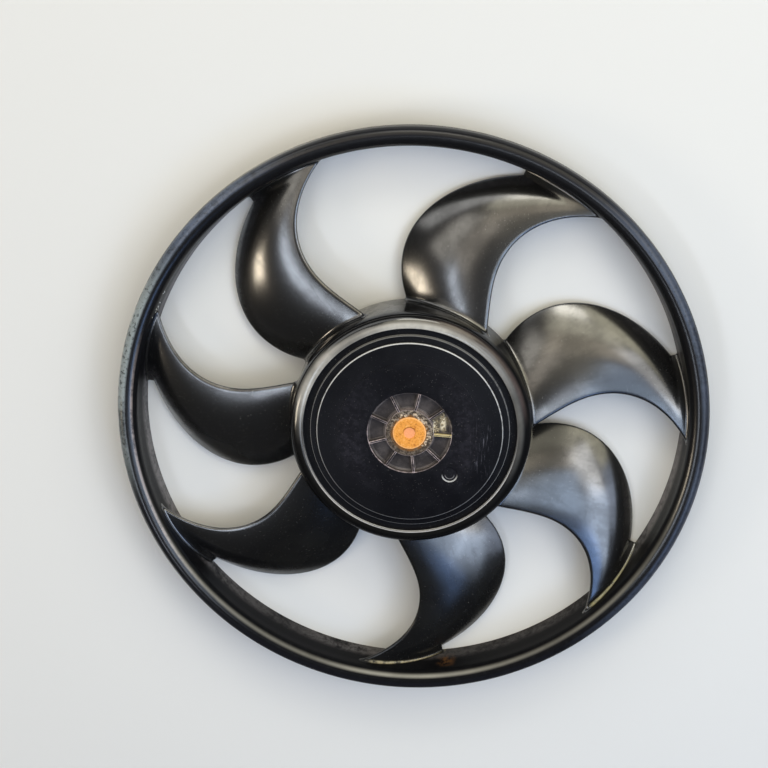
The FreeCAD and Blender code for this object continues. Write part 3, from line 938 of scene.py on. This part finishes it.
def bladeTree():
    graph, w, identifiers = newTree("bladeRule", bladeSizes)
    degree = math.pi / 180
    grid = graph.make("GeometryNodeMeshGrid", {
        "Size X": 1, "Size Y": 1, "Vertices X": bladeMesh["around"], "Vertices Y": bladeMesh["outward"],
    })
    position = graph.make("GeometryNodeInputPosition")
    split = graph.make("ShaderNodeSeparateXYZ", {"Vector": position})
    # Rows stand closer together at the root and at the tip
    around = (split + 0.5) * (2 * math.pi)
    out = split.other("Y") + 0.5
    hubR = w["Hub Radius"]
    throat = w["Throat Radius"]
    corner = throat - w["Trail Corner Inset"]
    rootRows = bladeMesh["rootRows"]
    tipRows = bladeMesh["tipRows"]
    rootPart = (out / rootRows).clamped() ** bladeMesh["crowding"]
    middlePart = ((out - rootRows) / (tipRows - rootRows)).clamped()
    tipPart = 1 - (1 - ((out - tipRows) / (1 - tipRows)).clamped()) ** bladeMesh["crowding"]
    radius = hubR - w["Sink"] + rootPart * (w["Root Fillet"] + w["Sink"])
    radius = radius + middlePart * (corner - hubR - w["Root Fillet"])
    radius = radius + tipPart * (throat + w["Sink"] - corner)
    lead = bowed(
        radius, (hubR, w["Lead Root Angle"]),
        (hubR + w["Lead Bulge Reach"], w["Lead Bulge Angle"]), (throat, w["Lead Tip Angle"]),
    ) * degree
    trail = bowed(
        radius.calc("MINIMUM", corner), (hubR, w["Trail Root Angle"]),
        (hubR + w["Trail Bulge Reach"], w["Trail Bulge Angle"]), (corner, w["Trail Corner Angle"]),
    ) * degree
    outward = (radius - hubR) / (throat - hubR)
    leadHeight = mixed(w["Lead Root Height"], w["Lead Tip Height"], outward)
    trailHeight = mixed(w["Trail Root Height"], w["Trail Tip Height"], outward)
    along = radius * (trail - lead)
    down = trailHeight - leadHeight
    chord = (along * along + down * down).calc("SQRT")
    part = (1 - around.calc("COSINE")) * 0.5
    side = around.calc("SINE").calc("SIGN")
    camber = 4 * w["Camber"] * part * (1 - part)
    slope = 4 * w["Camber"] * (1 - 2 * part) / chord
    tilt = down.calc("ARCTAN2", along) + slope.calc("ARCTANGENT")
    flatHeight = leadHeight + down * part + camber * along / chord
    # The last rows lean with the ring's wall
    wallRadius = throat - w["Draft"] * (1 - (flatHeight / w["Throat Height"]).clamped())
    lean = ((radius - corner) / (throat - corner)).clamped()
    trueRadius = radius + lean * (wallRadius - throat)
    flare = fillet(radius - hubR, w["Root Fillet"]) + fillet(wallRadius - trueRadius, w["Tip Fillet"])
    nose, noseLeft = quarterEase(part * chord, w["Nose Length"])
    tail, tailLeft = quarterEase((1 - part) * chord, w["Tail Length"])
    half = (mixed(w["Lead Thickness"], w["Trail Thickness"], part) * 0.5 + flare) * nose * tail * side
    push = flare * (tailLeft - noseLeft)
    sine = tilt.calc("SINE")
    cosine = tilt.calc("COSINE")
    distance = along * part - camber * down / chord - half * sine + push * cosine
    height = (flatHeight + half * cosine + push * sine).calc("MAXIMUM", bladeMesh["lowest"])
    turn = lead + distance / radius
    place = graph.make("ShaderNodeCombineXYZ", {
        "X": trueRadius * turn.calc("COSINE") * mm, "Y": trueRadius * turn.calc("SINE") * mm,
        "Z": height * mm,
    })
    shaped = graph.make("GeometryNodeSetPosition", {"Geometry": grid, "Position": place})
    closed = graph.make("GeometryNodeMergeByDistance", {"Geometry": shaped, "Distance": weld})
    chosen = graph.tree.nodes.new("GeometryNodeIndexSwitch")
    chosen.data_type = "FLOAT"
    while len(chosen.index_switch_items) < bladeMesh["count"]:
        chosen.index_switch_items.new()
    index = graph.make("GeometryNodeInputIndex")
    graph.tree.links.new(index.socket, chosen.inputs["Index"])
    for number in range(bladeMesh["count"]):
        graph.tree.links.new(w[f"Angle {number + 1}"].socket, chosen.inputs[number + 1])
    angle = Wire(graph, chosen.outputs[0]) * degree
    finishTree(graph, copied(graph, closed, bladeMesh["count"], angle), bladePlastic)
    return graph, identifiers


def makeBlades():
    item = meshObject("blades", [], [])
    graph, identifiers = bladeTree()
    applyTree(item, graph, identifiers, bladeSizes)
    closeUp(item.data, fillHoles=True)
    smooth(item, 40)
    return item


blades = makeBlades()
print("blades made", len(blades.data.polygons))


# Crumbs of dirt, scattered by one rule

crumb = {"subdivisions": 3, "narrowest": 0.6, "dentScale": 1100, "dentDetail": 1}


def crumbTree(name, sizes, material):
    graph, w, identifiers = newTree(name + "Scatter", sizes)

    def chance(low, high, salt):
        sockets = {2: low, 3: high, "Seed": w["Seed"] + salt}
        return graph.make("FunctionNodeRandomValue", sockets, {"data_type": "FLOAT"}, out=1)

    degree = math.pi / 180
    turn = chance(w["Start Angle"] * degree, w["End Angle"] * degree, 1)
    reach = chance(w["Inner Radius"], w["Outer Radius"], 2) * mm
    place = graph.make("ShaderNodeCombineXYZ", {
        "X": reach * turn.calc("COSINE"), "Y": reach * turn.calc("SINE"),
        "Z": chance(w["Low Height"], w["High Height"], 3) * mm,
    })
    ball = graph.make("GeometryNodeMeshIcoSphere", {
        "Radius": mm, "Subdivisions": crumb["subdivisions"],
    })
    size = chance(w["Smallest"], w["Largest"], 4)
    scale = graph.make("ShaderNodeCombineXYZ", {
        "X": size, "Y": size * chance(crumb["narrowest"], 1.0, 5), "Z": size * w["Flatness"],
    })
    copies = copied(graph, ball, w["Count"], chance(0.0, 2 * math.pi, 6), place, scale)
    real = graph.make("GeometryNodeRealizeInstances", {"Geometry": copies})
    # Each crumb is dented by noise
    position = graph.make("GeometryNodeInputPosition")
    dents = graph.make("ShaderNodeTexNoise", {
        "Vector": position, "Scale": crumb["dentScale"], "Detail": crumb["dentDetail"],
    }) - 0.5
    normal = graph.make("GeometryNodeInputNormal")
    push = graph.make("ShaderNodeVectorMath", {
        0: normal, "Scale": dents * w["Dents"] * mm,
    }, {"operation": "SCALE"})
    dented = graph.make("GeometryNodeSetPosition", {"Geometry": real, "Offset": push})
    finishTree(graph, dented, material)
    return graph, identifiers


def makeCrumbs(name, sizes, material):
    item = meshObject(name, [], [])
    graph, identifiers = crumbTree(name, sizes, material)
    applyTree(item, graph, identifiers, sizes)
    item.data.shade_smooth()
    return item


bushCrumbs = makeCrumbs("bushCrumbs", {
    "Count": 38, "Start Angle": -55.0, "End Angle": 118.0, "Inner Radius": 11.1, "Outer Radius": 13.4,
    "Low Height": 47.65, "High Height": 47.7, "Smallest": 0.35, "Largest": 1.15, "Flatness": 0.35,
    "Dents": 0.15, "Seed": 4,
}, crumbDirt)
pocketCrumbs = makeCrumbs("pocketCrumbs", {
    "Count": 34, "Start Angle": 0.0, "End Angle": 33.0, "Inner Radius": 16.6, "Outer Radius": 25.5,
    "Low Height": 44.2, "High Height": 44.5, "Smallest": 0.35, "Largest": 1.0, "Flatness": 0.6,
    "Dents": 0.25, "Seed": 11,
}, crumbSand)
ringCrumbs = makeCrumbs("ringCrumbs", {
    "Count": 9, "Start Angle": 151.0, "End Angle": 158.0, "Inner Radius": 181.9, "Outer Radius": 182.4,
    "Low Height": 19.0, "High Height": 27.5, "Smallest": 0.3, "Largest": 0.75, "Flatness": 0.8,
    "Dents": 0.2, "Seed": 3,
}, crumbPale)
print("crumbs made")


# Stand-ins for the solids

for piece in (outerRing, hubCup, spokes, cupRibs, blades):
    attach(piece, "root")
    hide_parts("impeller")
for piece in (bushCrumbs, pocketCrumbs, ringCrumbs):
    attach(piece, "root")
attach(turnedBush, "root")
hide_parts("hub_bush")


# Floor, lights and camera

stage = {
    "floorReach": 4000, "floorColour": (0.72, 0.72, 0.71, 1), "floorRoughness": 0.9,
    "worldColour": (1, 1, 1, 1), "worldStrength": 0.04, "lampDistance": 2,
}


def makeFloor():
    reach = stage["floorReach"]
    corners = [(-reach, -reach, 0), (reach, -reach, 0), (reach, reach, 0), (-reach, reach, 0)]
    item = meshObject("floor", corners, [(0, 1, 2, 3)])
    material, graph, shader = newMaterial("paleFloor")
    feed(graph, shader, stage, stage["floorColour"], stage["floorRoughness"])
    item.data.materials.append(material)


def softbox(name, azimuth, elevation, size, glow, colour):
    # Glow is the radiance seen in a mirror, and the box faces the wheel
    data = bpy.data.lights.new(name, "AREA")
    data.shape = "RECTANGLE"
    data.size = size[0]
    data.size_y = size[1]
    data.energy = glow * math.pi * size[0] * size[1]
    data.color = colour
    lamp = bpy.data.objects.new(name, data)
    aim = Matrix.Rotation(math.radians(azimuth), 3, "Z")
    aim = aim @ Matrix.Rotation(math.radians(-elevation), 3, "Y")
    place = aim @ Vector((stage["lampDistance"], 0, 0))
    lamp.location = place
    lamp.rotation_euler = place.to_track_quat("Z", "Y").to_euler()
    bpy.context.scene.collection.objects.link(lamp)


camera = {
    "place": (38.6, 345.4, 1022.4), "right": (0.99841, 0, -0.05641),
    "up": (-0.01719, 0.95244, -0.30425), "forward": (-0.05372, -0.30473, -0.95092),
    "lens": 75, "sensor": 36, "clipEnd": 20,
}


def makeCamera():
    data = bpy.data.cameras.new("view")
    data.lens = camera["lens"]
    data.sensor_width = camera["sensor"]
    data.clip_end = camera["clipEnd"]
    item = bpy.data.objects.new("view", data)
    bpy.context.scene.collection.objects.link(item)
    columns = Matrix((camera["right"], camera["up"], [-c for c in camera["forward"]])).transposed()
    item.matrix_world = Matrix.Translation(Vector(camera["place"]) * mm) @ columns.to_4x4()
    bpy.context.scene.camera = item


def makeWorld():
    world = bpy.data.worlds.new("studio")
    world.use_nodes = True
    background = world.node_tree.nodes["Background"]
    background.inputs["Color"].default_value = stage["worldColour"]
    background.inputs["Strength"].default_value = stage["worldStrength"]
    bpy.context.scene.world = world


makeFloor()
makeCamera()
makeWorld()
# Azimuth and elevation in degrees, size in metres, glow and tint
lamps = [
    ("window", 18, 47, (1.05, 0.64), 3.6, (1, 0.99, 0.97)),
    ("windowEdge", -20, 45, (1.05, 0.72), 3.8, (0.66, 0.79, 1)),
    ("blueSky", -50, 48, (0.55, 0.5), 2.9, (0.3, 0.51, 1)),
    ("lowRight", -4, 27, (1, 0.5), 1.6, (0.66, 0.77, 1)),
    ("highRight", -8, 66, (1, 0.55), 2.8, (0.6, 0.76, 1)),
    ("lowNorthEast", 44, 29, (2, 0.6), 1.9, (1, 0.94, 0.7)),
    ("northGlow", 78, 46, (1.8, 0.55), 2.2, (1, 0.94, 0.73)),
    ("creamSpot", 87, 33, (0.8, 0.38), 6.8, (1, 0.96, 0.84)),
    ("highNorth", 74, 62, (1.7, 0.5), 1.3, (1, 0.88, 0.68)),
    ("highNorthEast", 50, 76, (0.9, 0.5), 0.5, (1, 0.92, 0.72)),
    ("lowNorthWest", 120, 27, (2.1, 0.55), 1.5, (1, 1, 0.97)),
    ("northWest", 146, 51, (1.1, 0.6), 1.7, (1, 0.95, 0.85)),
    ("highNorthWest", 138, 69, (1, 0.5), 1.3, (1, 0.9, 0.76)),
    ("narrowLight", 208, 62.5, (1.15, 0.28), 5.2, (0.8, 0.88, 1)),
    ("lampGlow", 192, 29, (0.42, 0.46), 10, (1, 0.86, 0.66)),
    ("overhead", 318, 79, (0.38, 0.38), 4.8, (0.8, 0.88, 1)),
]
for name, azimuth, elevation, size, glow, tint in lamps:
    softbox(name, azimuth, elevation, size, glow, tint)
bpy.context.scene.view_settings.view_transform = "Standard"
print("stage made")
